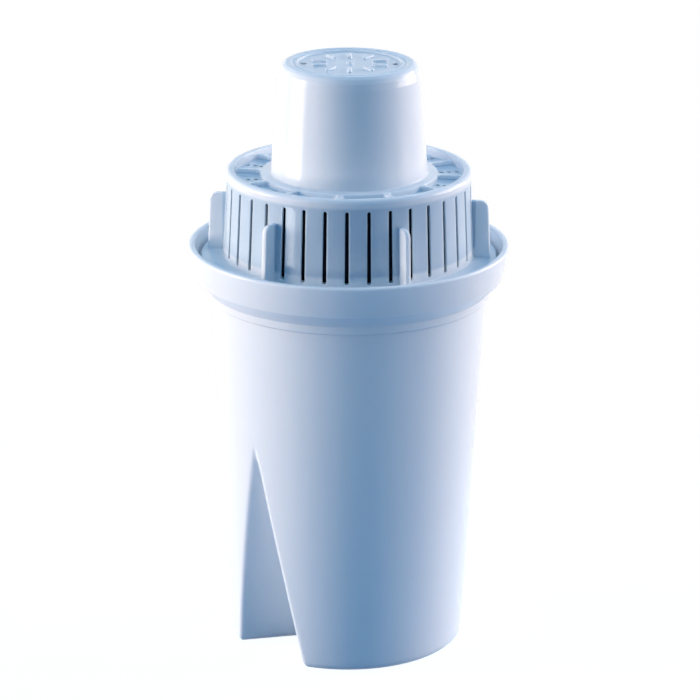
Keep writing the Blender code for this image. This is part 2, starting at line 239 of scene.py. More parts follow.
def in_scene(name, data):
    """A new object made of this mesh, lamp or camera, put in the scene."""
    thing = bpy.data.objects.new(name, data)
    bpy.context.scene.collection.objects.link(thing)
    return thing


def new_piece(name, points, faces):
    """A piece from points in millimetres and the faces between them."""
    mesh = bpy.data.meshes.new(name)
    corners = [tuple(int(i) for i in face) for face in faces]
    mesh.from_pydata((np.asarray(points) * MM).tolist(), [], corners)
    return in_scene(name, mesh)


def smooth(piece, angle):
    """Smooth shading, with edges sharper than an angle in degrees kept crisp."""
    for face in piece.data.polygons:
        face.use_smooth = True
    piece.data.set_sharp_from_angle(angle=math.radians(angle))


def turned_ring(radius, height, turns):
    return around(radius + 0 * turns, turns, height)


def stretches(*marks):
    """Levels through marks, each a height and the number of levels that lead up to it."""
    parts = [np.linspace(a[0], b[0], b[1])[1:] for a, b in zip(marks, marks[1:])]
    return np.concatenate(parts)


cup_rings = [
    body_ring(FOOT_RECESS, FOOT_WALL),
    body_ring(CREASE, FOOT_WALL),
    body_ring(0.0, FOOT_WALL - CREASE),
]
for t in np.linspace(0, np.pi / 2, 9)[::-1]:
    cup_rings.append(body_ring(FOOT_ROUND * (1 - np.sin(t)), FOOT_ROUND * (1 - np.cos(t))))
outer_levels = stretches((FOOT_ROUND, 0), (38, 53), (47, 26), (LAST_RING, 12))
cup_rings += [body_ring(level, 0) for level in outer_levels]
turns = column_turns()
rim_start = (body_radius(LAST_RING), LAST_RING, 0)
rim_end = (body_radius(INSIDE_HIGH) - CUP_WALL, INSIDE_HIGH, 0)
rim = rounded([rim_start, *RIM_SECTION, rim_end], 5)
cup_rings += [turned_ring(radius, height, turns) for radius, height in rim[1:]]
inner_levels = stretches((INSIDE_HIGH, 0), (48, 8), (INSIDE_LOW, 45))
cup_rings += [body_ring(level, CUP_WALL) for level in inner_levels]
cup_rings.append(body_ring(FLOOR_TOP + 0.2, CUP_WALL + 0.05))
cup_rings.append(body_ring(FLOOR_TOP, CUP_WALL + CREASE))
cup = new_piece("cup", *skin(cup_rings))


def sockets(tree, side, **kinds):
    """Named inputs or outputs of a geometry nodes tree; an underscore stands for a space."""
    for name, kind in kinds.items():
        name = name.replace("_", " ")
        tree.interface.new_socket(name, in_out=side, socket_type="NodeSocket" + kind)


def repeat_tree():
    """Geometry nodes that set copies of a part round the axis, a step apart."""
    tree = bpy.data.node_groups.new("round_the_axis", "GeometryNodeTree")
    sockets(tree, "INPUT", Part="Geometry", Count="Int", First_turn="Float", Step="Float")
    sockets(tree, "INPUT", Weld_distance="Float", Finish="Material")
    sockets(tree, "OUTPUT", Ring="Geometry")
    add, link = tree.nodes.new, tree.links.new
    given, result = add("NodeGroupInput"), add("NodeGroupOutput")
    places, copies = add("GeometryNodePoints"), add("GeometryNodeInstanceOnPoints")
    index, turned, spin = (
        add("GeometryNodeInputIndex"), add("ShaderNodeMath"), add("ShaderNodeCombineXYZ")
    )
    turned.operation = "MULTIPLY_ADD"
    real, weld = add("GeometryNodeRealizeInstances"), add("GeometryNodeMergeByDistance")
    paint = add("GeometryNodeSetMaterial")
    link(given.outputs["Count"], places.inputs["Count"])
    link(index.outputs[0], turned.inputs[0])
    link(given.outputs["Step"], turned.inputs[1])
    link(given.outputs["First turn"], turned.inputs[2])
    link(turned.outputs[0], spin.inputs["Z"])
    link(places.outputs[0], copies.inputs["Points"])
    link(given.outputs["Part"], copies.inputs["Instance"])
    link(spin.outputs[0], copies.inputs["Rotation"])
    link(copies.outputs[0], real.inputs[0])
    link(real.outputs[0], weld.inputs["Geometry"])
    link(given.outputs["Weld distance"], weld.inputs["Distance"])
    link(weld.outputs[0], paint.inputs["Geometry"])
    link(given.outputs["Finish"], paint.inputs["Material"])
    link(paint.outputs[0], result.inputs[0])
    return tree


ROUND_THE_AXIS = repeat_tree()


def set_inputs(modifier, values):
    """Gives a geometry nodes modifier its values, by the identifier of each named input."""
    for socket in modifier.node_group.interface.items_tree:
        if socket.in_out == "INPUT" and socket.name in values:
            modifier[socket.identifier] = values[socket.name]


def repeated(part, count, first, step, weld=0.0):
    """The part's copies round the axis as one plain mesh; the single part is removed."""
    modifier = part.modifiers.new("round_the_axis", "NODES")
    modifier.node_group = ROUND_THE_AXIS
    values = {"Count": count, "First turn": first, "Step": step, "Weld distance": weld}
    set_inputs(modifier, values)
    part.update_tag()
    graph = bpy.context.evaluated_depsgraph_get()
    mesh = bpy.data.meshes.new_from_object(part.evaluated_get(graph))
    mesh.name = part.name + "s"
    ring = in_scene(mesh.name, mesh)
    bpy.data.objects.remove(part)
    return ring


def joined(name, parts, weld=0.0):
    """Several pieces of mesh as one object; points nearer than the weld distance become one."""
    shape = bmesh.new()
    for part in parts:
        shape.from_mesh(part.data)
        bpy.data.objects.remove(part)
    if weld:
        bmesh.ops.remove_doubles(shape, verts=shape.verts, dist=weld)
    bmesh.ops.recalc_face_normals(shape, faces=shape.faces)
    mesh = bpy.data.meshes.new(name)
    shape.to_mesh(mesh)
    shape.free()
    return in_scene(name, mesh)


def carve(piece, tool, operation):
    """Joins a tool to the piece, or cuts it out, and removes the tool."""
    modifier = piece.modifiers.new(operation, "BOOLEAN")
    modifier.operation = operation
    modifier.solver = "EXACT"
    modifier.object = tool
    graph = bpy.context.evaluated_depsgraph_get()
    mesh = bpy.data.meshes.new_from_object(piece.evaluated_get(graph))
    piece.modifiers.clear()
    piece.data = mesh
    bpy.data.objects.remove(tool)


def long_hole(start, end, half, height):
    """A ring with half-round ends that lies along a radius, straight ahead of the axis."""
    t = np.linspace(0, np.pi, 9)
    across = half * np.concatenate([np.cos(t), -np.cos(t)])
    along = np.concatenate([end - half + half * np.sin(t), start + half - half * np.sin(t)])
    return np.stack([across, -along, height + 0 * across], axis=-1)


SLOT_HALF = 0.55
SLOTS = (  # name, start and end radius, first turn, step, number: none where the notch is
    ("outer_slot", 11.0, 19.0, 40, 20, 15),
    ("inner_slot", 3.0, 8.0, 60, 40, 7),
)
slot_sets = []
for name, start, end, first_turn, step, slot_count in SLOTS:
    rings = [long_hole(start, end, SLOT_HALF, z) for z in (FOOT_RECESS - 1, FLOOR_TOP + 1)]
    slot = new_piece(name, *skin(rings))
    slot_sets.append(repeated(slot, slot_count, math.radians(first_turn), math.radians(step)))
carve(cup, joined("floor_slots", slot_sets), "DIFFERENCE")
smooth(cup, 35)


def new_finish(name):
    """A new material, with the two calls that add and link its nodes, and its shader."""
    material = bpy.data.materials.new(name)
    material.use_nodes = True
    tree = material.node_tree
    return material, tree.nodes.new, tree.links.new, tree.nodes["Principled BSDF"]


def rough_from(pattern, shader, add, link, low, high):
    """Roughness from low to high, led by a pattern that lies mostly between 0.3 and 0.7."""
    gloss = add("ShaderNodeMapRange")
    gloss.inputs["From Min"].default_value = 0.3
    gloss.inputs["From Max"].default_value = 0.7
    gloss.inputs["To Min"].default_value = low
    gloss.inputs["To Max"].default_value = high
    link(pattern, gloss.inputs["Value"])
    link(gloss.outputs[0], shader.inputs["Roughness"])


def bump_from(pattern, shader, add, link, strength, depth):
    """Bump led by a pattern, with its depth in millimetres."""
    relief = add("ShaderNodeBump")
    relief.inputs["Strength"].default_value = strength
    relief.inputs["Distance"].default_value = depth * MM
    link(pattern, relief.inputs["Height"])
    link(relief.outputs[0], shader.inputs["Normal"])
    return relief


PLASTIC_PALE = (0.80, 0.845, 0.895)
PLASTIC_DEEP = (0.775, 0.825, 0.88)


def moulded_plastic(name, roughness, shine):
    """Moulded polypropylene: slow flow clouding in colour and gloss, and a fine grain."""
    material, add, link, shader = new_finish(name)
    place, flow = add("ShaderNodeTexCoord"), add("ShaderNodeMapping")
    cloud, grain = add("ShaderNodeTexNoise"), add("ShaderNodeTexNoise")
    flow.inputs["Scale"].default_value = (1, 1, 0.3)
    link(place.outputs["Object"], flow.inputs["Vector"])
    link(flow.outputs[0], cloud.inputs["Vector"])
    link(place.outputs["Object"], grain.inputs["Vector"])
    cloud.inputs["Scale"].default_value = 60
    cloud.inputs["Detail"].default_value = 3
    grain.inputs["Scale"].default_value = 2600
    grain.inputs["Detail"].default_value = 2
    tint = add("ShaderNodeValToRGB")
    tint.color_ramp.elements[0].position = 0.3
    tint.color_ramp.elements[0].color = (*PLASTIC_DEEP, 1)
    tint.color_ramp.elements[1].position = 0.7
    tint.color_ramp.elements[1].color = (*PLASTIC_PALE, 1)
    link(cloud.outputs["Fac"], tint.inputs["Fac"])
    link(tint.outputs["Color"], shader.inputs["Base Color"])
    rough_from(cloud.outputs["Fac"], shader, add, link, roughness - 0.01, roughness + 0.01)
    bump_from(grain.outputs["Fac"], shader, add, link, 0.04, 0.1)
    shader.inputs["IOR"].default_value = 1.5
    shader.inputs["Specular IOR Level"].default_value = shine
    shader.inputs["Subsurface Weight"].default_value = 0.5
    shader.inputs["Subsurface Radius"].default_value = (1.0, 0.95, 0.9)
    shader.inputs["Subsurface Scale"].default_value = 0.0012
    return material


cup.data.materials.clear()
cup.data.materials.append(moulded_plastic("cup_plastic", 0.26, 0.36))
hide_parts("canister")
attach(cup, "root")

# The lower felt: a disc of needled white felt, cut to the cup's inside, that lies on
# the floor and keeps fine dust out of the outlet slots.
FELT = 1.5
FELT_EDGE = 0.5
FELT_DISH = 0.02
SEAT = 0.3
BED_FOOT = FLOOR_TOP + 2 * SEAT + FELT
BED_TOP = 68.62


def felt_disc(name, low):
    """A felt disc with soft edges that follows the cup's inside."""
    side = CUP_WALL + SEAT
    rings = [body_ring(low + FELT_DISH, side + 6), body_ring(low, side + 2)]
    for t in np.linspace(0, np.pi, 9):
        height = low + FELT / 2 * (1 - np.cos(t))
        rings.append(body_ring(height, side + FELT_EDGE * (1 - np.sin(t))))
    rings += [body_ring(low + FELT, side + 2), body_ring(low + FELT - FELT_DISH, side + 6)]
    disc = new_piece(name, *skin(rings))
    smooth(disc, 60)
    return disc


def felt_finish():
    """Needled white fibre, slightly mottled."""
    material, add, link, shader = new_finish("white_felt")
    place = add("ShaderNodeTexCoord")
    fibre, mottle = add("ShaderNodeTexNoise"), add("ShaderNodeTexNoise")
    link(place.outputs["Object"], fibre.inputs["Vector"])
    link(place.outputs["Object"], mottle.inputs["Vector"])
    fibre.inputs["Scale"].default_value = 1800
    fibre.inputs["Detail"].default_value = 4
    fibre.inputs["Distortion"].default_value = 2.5
    mottle.inputs["Scale"].default_value = 220
    tint = add("ShaderNodeValToRGB")
    tint.color_ramp.elements[0].color = (0.60, 0.60, 0.57, 1)
    tint.color_ramp.elements[1].color = (0.84, 0.84, 0.82, 1)
    link(mottle.outputs["Fac"], tint.inputs["Fac"])
    link(tint.outputs["Color"], shader.inputs["Base Color"])
    bump_from(fibre.outputs["Fac"], shader, add, link, 0.6, 0.3)
    rough_from(mottle.outputs["Fac"], shader, add, link, 0.9, 1.0)
    shader.inputs["Sheen Weight"].default_value = 0.3
    return material


white_felt = felt_finish()
lower_felt = felt_disc("lower_felt", FLOOR_TOP + SEAT)
lower_felt.data.materials.append(white_felt)
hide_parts("lower_fleece")
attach(lower_felt, "root")

# The bed: loose granules, black carbon mixed with amber resin beads, poured into the
# cup and shaken level. The grains stand proud of its top.
GRAIN_COUNT = 1800
GRAIN_R = 0.45
BED_CORNER = 0.3


def granule_finish():
    """Black carbon with an amber bead here and there, one cell of the pattern to a grain."""
    material, add, link, shader = new_finish("carbon_and_resin")
    place, cells = add("ShaderNodeTexCoord"), add("ShaderNodeTexVoronoi")
    hue = add("ShaderNodeSeparateColor")
    link(place.outputs["Object"], cells.inputs["Vector"])
    cells.inputs["Scale"].default_value = 1100
    tint = add("ShaderNodeValToRGB")
    tint.color_ramp.interpolation = "CONSTANT"
    tint.color_ramp.elements[0].color = (0.012, 0.012, 0.013, 1)
    tint.color_ramp.elements[1].position = 0.55
    tint.color_ramp.elements[1].color = (0.028, 0.026, 0.026, 1)
    bead = tint.color_ramp.elements.new(0.8)
    bead.color = (0.30, 0.19, 0.07, 1)
    link(cells.outputs["Color"], hue.inputs[0])
    link(hue.outputs[0], tint.inputs["Fac"])
    link(tint.outputs["Color"], shader.inputs["Base Color"])
    relief = bump_from(cells.outputs["Distance"], shader, add, link, 0.9, 0.4)
    relief.invert = True
    rough_from(hue.outputs[0], shader, add, link, 0.75, 0.5)
    return material


def grain_tree():
    """Geometry nodes that strew grains over the level top of the bed and keep the bed itself."""
    tree = bpy.data.node_groups.new("strewn_grains", "GeometryNodeTree")
    sockets(tree, "INPUT", Bed="Geometry", Grains_per_area="Float", Grain_radius="Float")
    sockets(tree, "INPUT", Seed="Int", Finish="Material")
    sockets(tree, "OUTPUT", Grains="Geometry")
    add, link = tree.nodes.new, tree.links.new
    given, result = add("NodeGroupInput"), add("NodeGroupOutput")
    normal, split = add("GeometryNodeInputNormal"), add("ShaderNodeSeparateXYZ")
    level = add("FunctionNodeCompare")
    level.operation = "GREATER_THAN"
    level.inputs["B"].default_value = 0.9  # a face that looks straight up has 1
    link(normal.outputs[0], split.inputs[0])
    link(split.outputs["Z"], level.inputs["A"])
    strew, grain = add("GeometryNodeDistributePointsOnFaces"), add("GeometryNodeMeshIcoSphere")
    copies = add("GeometryNodeInstanceOnPoints")
    grain.inputs["Subdivisions"].default_value = 2
    size, tilt = add("FunctionNodeRandomValue"), add("FunctionNodeRandomValue")
    size.inputs["Min"].default_value, size.inputs[3].default_value = 0.6, 1.0
    tilt.data_type = "FLOAT_VECTOR"
    tilt.inputs["Max"].default_value = (3.0, 3.0, 3.0)
    link(given.outputs["Bed"], strew.inputs["Mesh"])
    link(level.outputs[0], strew.inputs["Selection"])
    link(given.outputs["Grains per area"], strew.inputs["Density"])
    link(given.outputs["Seed"], strew.inputs["Seed"])
    link(given.outputs["Seed"], size.inputs["Seed"])
    link(given.outputs["Seed"], tilt.inputs["Seed"])
    link(given.outputs["Grain radius"], grain.inputs["Radius"])
    link(strew.outputs["Points"], copies.inputs["Points"])
    link(grain.outputs["Mesh"], copies.inputs["Instance"])
    link(tilt.outputs[0], copies.inputs["Rotation"])
    link(size.outputs[1], copies.inputs["Scale"])
    both, real = add("GeometryNodeJoinGeometry"), add("GeometryNodeRealizeInstances")
    paint = add("GeometryNodeSetMaterial")
    link(copies.outputs[0], both.inputs[0])
    link(given.outputs["Bed"], both.inputs[0])
    link(both.outputs[0], real.inputs[0])
    link(real.outputs[0], paint.inputs["Geometry"])
    link(given.outputs["Finish"], paint.inputs["Material"])
    link(paint.outputs[0], result.inputs[0])
    return tree


side = CUP_WALL + SEAT
grain_level = BED_TOP - GRAIN_R - 0.05
bed_levels = np.linspace(BED_FOOT + BED_CORNER, grain_level - BED_CORNER, 45)
bed_rings = [body_ring(BED_FOOT, side + BED_CORNER)]
bed_rings += [body_ring(level, side) for level in bed_levels]
bed_rings += [body_ring(grain_level, side + BED_CORNER)]
bed = new_piece("granule_bed", *skin(bed_rings))
smooth(bed, 50)
modifier = bed.modifiers.new("strewn_grains", "NODES")
modifier.node_group = grain_tree()
top_area = math.pi * (body_radius(BED_TOP) * MM) ** 2
set_inputs(modifier, {
    "Grains per area": GRAIN_COUNT / top_area,
    "Grain radius": GRAIN_R * MM,
    "Seed": 7,
    "Finish": granule_finish(),
})
bed.update_tag()
graph = bpy.context.evaluated_depsgraph_get()
grains = bpy.data.meshes.new_from_object(bed.evaluated_get(graph))
bed.modifiers.clear()
bed.data = grains
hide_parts("filter_bed")
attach(bed, "root")

# The upper felt: a second disc of the same felt, laid on the bed so that the grains
# don't float up into the drum.
upper_felt = felt_disc("upper_felt", BED_TOP + SEAT)
upper_felt.data.materials.append(white_felt)
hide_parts("upper_fleece")
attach(upper_felt, "root")

# The lid: one injection moulding in the same plastic, pressed and welded into the cup.
# Its drum lets water in through narrow slits, six fins guide it into the funnel, and
# its hollow knob is what the hand pulls.
LID_TURN = math.radians(9.2)
LID_COLUMNS = 360
FLANGE_TOP = 81.9
DRUM_TOP = 99.5
DRUM_TOP_R = 24.5
DRUM_SPREAD = 0.87
DRUM_WALL = 1.4
BAY_LOW, BAY_HIGH, BAY_HIGH_INSIDE = 82.25, 97.5, 97.16
KNOB_SECTION = [  # radius, height, corner radius, from the sunk disc to the drum's edge
    (10.0, 120.8, 0),
    (10.25, 120.8, 0.1),
    (10.45, 121.12, 0.1),
    (10.85, 121.12, 0.12),
    (11.1, 120.95, 0.15),
    (11.9, 121.25, 0.5),
    (12.75, 121.2, 0.6),
    (13.5, 120.75, 0.7),
    (13.98, 119.9, 0.9),
    (14.28, 118.6, 1.0),
    (15.80, 98.8, 0.35),
    (17.80, 98.8, 0.4),
    (17.95, 97.8, 0.25),
    (22.85, 97.8, 0.25),
    (22.95, 99.5, 0.3),
    (24.85, 99.5, 1.1),
]
FLANGE_SECTION = [
    (25.38, 81.9, 0.3),
    (29.95, 81.9, 0.4),
    (29.15, 77.8, 0.15),
    (27.85, 76.05, 0.15),
    (27.85, 80.5, 0.3),
    (24.05, 80.5, 0.4),
]
INSIDE_SECTION = [
    (23.2, 97.2, 0.02),
    (14.40, 97.2, 0.3),
    (12.70, 119.5, 0.6),
    (11.0, 119.5, 0),
]


def drum_radius(height):
    """The drum's wall leans in a little towards its top."""
    return DRUM_TOP_R + DRUM_SPREAD * (DRUM_TOP - height) / (DRUM_TOP - FLANGE_TOP)


SLIT_COUNT = 36
SLIT_LOW, SLIT_HIGH = 82.6, 97.1
SLIT_HALF_LOW, SLIT_HALF_HIGH = 0.40, 0.35
SLIT_EDGE = 0.1
SLIT_WEB = 0.4
SLIT_RELIEF = 2.8
RELIEF_EDGE = 0.05
BAY_COLUMNS, BAY_ROWS = 10, 14


def slit_loop(spread):
    """Sideways distances and heights round a slit with half-round ends, widened by a spread."""
    low_half, high_half = SLIT_HALF_LOW + spread, SLIT_HALF_HIGH + spread
    low, high = SLIT_LOW + SLIT_HALF_LOW, SLIT_HIGH - SLIT_HALF_HIGH
    turn = np.pi + np.pi * np.arange(BAY_COLUMNS) / BAY_COLUMNS
    rise = np.arange(BAY_ROWS) / BAY_ROWS
    across = [low_half * np.cos(turn), low_half + (high_half - low_half) * rise]
    across += [-high_half * np.cos(turn), -(high_half + (low_half - high_half) * rise)]
    height = [low + low_half * np.sin(turn), low + (high - low) * rise]
    height += [high - high_half * np.sin(turn), high + (low - high) * rise]
    return np.concatenate(across), np.concatenate(height)


def bay_frame(inset, high):
    """The edge of one bay: the stretch of drum wall that holds one slit."""
    half = np.pi / SLIT_COUNT
    side = np.arange(BAY_COLUMNS) / BAY_COLUMNS
    rise = np.arange(BAY_ROWS) / BAY_ROWS
    turn = [-half + 2 * half * side, half + 0 * rise, half - 2 * half * side, -half + 0 * rise]
    height = [BAY_LOW + 0 * side, BAY_LOW + (high - BAY_LOW) * rise]
    height += [high + 0 * side, high + (BAY_LOW - high) * rise]
    turn, height = np.concatenate(turn), np.concatenate(height)
    return turn * (drum_radius(height) - inset), height


def bay_ring(across, height, inset):
    """Sideways distances and heights laid on the drum's wall, some way inside its skin."""
    radius = drum_radius(height) - inset
    return around(radius, across / radius, height)


def between(frame, edge, share, inset):
    """A ring of the bay, some share of the way from the slit's edge to the bay's frame."""
    across, height = (share * f + (1 - share) * e for f, e in zip(frame, edge))
    return bay_ring(across, height, inset)


slit_across, slit_height = slit_loop(0)
relief = SLIT_RELIEF * slit_across, slit_height
frame_out, frame_in = bay_frame(0, BAY_HIGH), bay_frame(DRUM_WALL, BAY_HIGH_INSIDE)
bay_rings = [between(frame_out, slit_loop(SLIT_EDGE), share, 0) for share in (1, 0.6, 0.3, 0.1)]
for t in np.linspace(0, np.pi / 2, 4):
    loop = slit_loop(SLIT_EDGE * (1 - np.sin(t)))
    bay_rings.append(bay_ring(*loop, SLIT_EDGE * (1 - np.cos(t))))
bay_rings.append(bay_ring(slit_across, slit_height, SLIT_WEB))
bay_rings.append(bay_ring(*relief, SLIT_WEB + RELIEF_EDGE))
bay_rings += [between(frame_in, relief, share, DRUM_WALL) for share in (0, 0.3, 1)]
slit_bay = new_piece("slit_bay", *skin(bay_rings, False, False))

WELD = 0.002 * MM
slit_step = 2 * math.pi / SLIT_COUNT
bays = repeated(slit_bay, SLIT_COUNT, LID_TURN + slit_step / 2, slit_step, WELD)
wall_high = (drum_radius(BAY_HIGH), BAY_HIGH, 0)
wall_low = (drum_radius(BAY_LOW), BAY_LOW, 0)
wall_low_inside = (drum_radius(BAY_LOW) - DRUM_WALL, BAY_LOW, 0)
wall_high_inside = (drum_radius(BAY_HIGH_INSIDE) - DRUM_WALL, BAY_HIGH_INSIDE, 0)
lid_turns = LID_TURN + 2 * np.pi * np.arange(LID_COLUMNS) / LID_COLUMNS
shells = []
for name, section, steps, cap_start, cap_end in (
    ("above", [*KNOB_SECTION, wall_high], 6, True, False),
    ("below", [wall_low, *FLANGE_SECTION, wall_low_inside], 4, False, False),
    ("inside", [wall_high_inside, *INSIDE_SECTION], 4, False, True),
):
    rings = [turned_ring(r, z, lid_turns) for r, z in rounded(section, steps)]
    shells.append(new_piece(name, *skin(rings, cap_start, cap_end)))
lid = joined("lid_moulding", [*shells, bays], WELD)

FIN_THICKNESS = 1.1
FIN_EDGE = 0.22
FIN_OUTLINE = [  # radius, height, corner radius, from the drum out, up and back
    (24.7, 81.2, 0),
    (28.6, 81.2, 0),
    (28.6, 82.0, 0),
    (28.3, 89.0, 0),
    (28.1, 93.6, 1.6),
    (24.0, 93.6, 0),
]
fin_points = rounded(FIN_OUTLINE, 6)
plate = bmesh.new()
sides = []
for half in (-FIN_THICKNESS / 2, FIN_THICKNESS / 2):
    sides.append([plate.verts.new((half * MM, -r * MM, z * MM)) for r, z in fin_points])
plate.faces.new(sides[0])
plate.faces.new(reversed(sides[1]))
count = len(fin_points)
for i in range(count):
    j = (i + 1) % count
    plate.faces.new((sides[0][j], sides[0][i], sides[1][i], sides[1][j]))
bmesh.ops.recalc_face_normals(plate, faces=plate.faces)
bmesh.ops.bevel(
    plate,
    geom=[edge for edge in plate.edges if abs(edge.verts[0].co.x - edge.verts[1].co.x) < 1e-7],
    offset=FIN_EDGE * MM, offset_type="OFFSET", segments=3, profile=0.5, affect="EDGES",
)
fin_mesh = bpy.data.meshes.new("fin")
plate.to_mesh(fin_mesh)
plate.free()
fins = repeated(in_scene("fin", fin_mesh), 6, LID_TURN, math.radians(60))

POCKET_COUNT = 12
POCKET_STEP = math.radians(30)
RIB_LOW, RIB_HIGH, RIB_HALF = 97.4, 98.7, 0.55
RIB_FROM, RIB_TO = 17.3, 23.4
RIB_EDGE = 0.2
COLLAR_R, COLLAR_FILLET = 17.95, 0.4
LIP_R, LIP_FILLET = 22.9, 0.3
rib_rings = []
for distance in np.concatenate([np.linspace(RIB_FROM, 19, 12), np.linspace(19, RIB_TO, 18)[1:]]):
    half = RIB_HALF
    for wall, size in ((distance - COLLAR_R, COLLAR_FILLET), (LIP_R - distance, LIP_FILLET)):
        gap = min(max(wall, 0), size)
        half += size - math.sqrt(size**2 - (size - gap) ** 2)
    t = np.linspace(0, np.pi / 2, 4)
    right = half - RIB_EDGE + RIB_EDGE * np.cos(t[::-1])
    rise = RIB_HIGH - RIB_EDGE + RIB_EDGE * np.sin(t)
    across = np.concatenate([[-half], -right[::-1], right, [half]])
    height = np.concatenate([[RIB_LOW], rise, rise[::-1], [RIB_LOW]])
    rib_rings.append(np.stack([across, -distance + 0 * across, height], axis=-1))
rib = new_piece("rib", *skin(rib_rings))
ribs = repeated(rib, POCKET_COUNT, LID_TURN, POCKET_STEP)

DISC_TOP = 120.8
VENT_TURN = LID_TURN + math.radians(126)
MARK_COUNT = 10
MARK_STEP = math.radians(36)
MARK_FROM, MARK_TO, MARK_HALF = 5.15, 7.45, 0.42
PIP_R = 0.7
RAISED = ((0, -0.5), (0, 0.3), (-0.06, 0.4), (-0.16, 0.45))  # growth and height over the disc
mark_rings = []
for grow, height in RAISED:
    half = MARK_HALF + grow
    mark_rings.append(long_hole(MARK_FROM - half, MARK_TO + half, half, DISC_TOP + height))
mark = new_piece("mark", *skin(mark_rings))
marks = repeated(mark, MARK_COUNT, VENT_TURN + MARK_STEP / 2, MARK_STEP)
t = np.linspace(0, 2 * np.pi, 25)[:-1]
pip_shape = ((PIP_R, -0.5), (PIP_R, 0.3), (PIP_R - 0.1, 0.4), (PIP_R - 0.3, 0.45))
pip = new_piece("pip", *skin([turned_ring(r, DISC_TOP + z, t) for r, z in pip_shape]))


def bore(name, distance, levels, columns):
    """A round cutter that stands some way ahead of the axis; levels are (height, radius)."""
    t = np.linspace(0, 2 * np.pi, columns + 1)[:-1]
    rings = [turned_ring(radius, height, t) for height, radius in levels]
    return new_piece(name, *skin([ring + np.array([0, -distance, 0]) for ring in rings]))


HOLE_R, HOLE_RELIEF_R = 0.48, 0.7
HOLE_LEVELS = ((96.0, HOLE_RELIEF_R), (97.45, HOLE_RELIEF_R), (97.55, HOLE_R), (99.0, HOLE_R))
HOLE_PLACES = (18.85, 20.4, 21.9)
VENT_R, VENT_RELIEF_R = 0.7, 1.5
VENT_LEVELS = ((118.0, VENT_RELIEF_R), (120.4, VENT_RELIEF_R), (120.5, VENT_R), (122.0, VENT_R))
VENT_PLACE = 9.15
hole_row = joined("hole", [bore("hole", place, HOLE_LEVELS, 16) for place in HOLE_PLACES])
holes = repeated(hole_row, POCKET_COUNT, LID_TURN + POCKET_STEP / 2, POCKET_STEP)
vents = repeated(bore("vent", VENT_PLACE, VENT_LEVELS, 32), 2, VENT_TURN, math.pi)
carve(lid, joined("lid_additions", [fins, ribs, marks, pip]), "UNION")
carve(lid, joined("lid_cuts", [holes, vents]), "DIFFERENCE")
smooth(lid, 35)


def painted_shade(material, colour, limits):
    """Painted shade: a band of the moulding darkened in its base colour, standing in for the
    shade where the dark inside shows through the thin slotted wall and where the lip shades the
    pocket floors.

    Each limit is "height" or "radius" with the sizes where the tone starts and is full.
    """
    add, link = material.node_tree.nodes.new, material.node_tree.links.new
    shader = material.node_tree.nodes["Principled BSDF"]
    place, split = add("ShaderNodeTexCoord"), add("ShaderNodeSeparateXYZ")
    flat = add("ShaderNodeVectorMath")
    flat.operation = "MULTIPLY"
    flat.inputs[1].default_value = (1, 1, 0)
    link(place.outputs["Object"], split.inputs[0])
    link(place.outputs["Object"], flat.inputs[0])
    length = add("ShaderNodeVectorMath")
    length.operation = "LENGTH"
    link(flat.outputs[0], length.inputs[0])
    share = None
    sources = {"height": split.outputs["Z"], "radius": length.outputs["Value"]}
    for source, start, end in limits:
        step = add("ShaderNodeMapRange")
        step.interpolation_type = "SMOOTHSTEP"
        step.inputs["From Min"].default_value = start * MM
        step.inputs["From Max"].default_value = end * MM
        link(sources[source], step.inputs["Value"])
        if share:
            both = add("ShaderNodeMath")
            both.operation = "MULTIPLY"
            link(share, both.inputs[0])
            link(step.outputs[0], both.inputs[1])
            share = both.outputs[0]
        else:
            share = step.outputs[0]
    mix = add("ShaderNodeMixRGB")
    mix.blend_type = "MULTIPLY"
    mix.inputs["Color2"].default_value = (*colour, 1)
    link(share, mix.inputs["Fac"])
    link(shader.inputs["Base Color"].links[0].from_socket, mix.inputs["Color1"])
    link(mix.outputs[0], shader.inputs["Base Color"])


# Painted shade on the slotted drum wall, which stands in for the dark screen behind the thin
# plastic keeping light from it.
SHADE_ON_SLOTTED_WALL = (
    ("height", 83.4, 84.4),
    ("height", 98.2, 97.2),
    ("radius", 25.7, 25.5),
    ("radius", 22.0, 23.0),
)
# Painted shade on the pocket floors, which lie in the shade of the lip.
SHADE_ON_POCKET_FLOORS = (
    ("height", 97.0, 97.3),
    ("height", 98.0, 97.85),
    ("radius", 22.9, 22.7),
    ("radius", 17.9, 18.1),
)
lid_plastic_and_painted_shade = moulded_plastic("lid_plastic_and_painted_shade", 0.12, 0.2)
# Painted shade: the slotted drum wall and the pocket floors are darkened in the base colour.
painted_shade(lid_plastic_and_painted_shade, (0.66, 0.76, 0.84), SHADE_ON_SLOTTED_WALL)
painted_shade(lid_plastic_and_painted_shade, (0.76, 0.87, 0.95), SHADE_ON_POCKET_FLOORS)
lid.data.materials.clear()
lid.data.materials.append(lid_plastic_and_painted_shade)
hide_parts("lid")
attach(lid, "root")

# The screen: a sleeve of fine black woven mesh, slipped into the drum before the lid
# is pressed on. It stands against the wall behind the slits and holds back the grains.
SCREEN_FOOT, SCREEN_TOP = 80.5, 96.9
SCREEN_THICKNESS = 0.4
WEAVE_ROWS, WEAVE_COLUMNS = 40, 360
WEAVE = 0.05
threads = np.arange(WEAVE_COLUMNS)
weave_levels = np.linspace(SCREEN_TOP, SCREEN_FOOT, WEAVE_ROWS)
screen_rings = []
for inwards, levels in ((0, weave_levels), (SCREEN_THICKNESS - 2 * WEAVE, weave_levels[::-1])):
    for row, level in enumerate(levels):
        over = WEAVE * (-1) ** (threads + row)
        radius = drum_radius(level) - DRUM_WALL - SEAT - WEAVE - inwards
        screen_rings.append(around(radius + over, 2 * np.pi * threads / WEAVE_COLUMNS, level))
screen_rings.append(screen_rings[0])
sleeve = new_piece("sleeve", *skin(screen_rings, False, False))
screen = joined("woven_screen", [sleeve], WELD)
smooth(screen, 60)


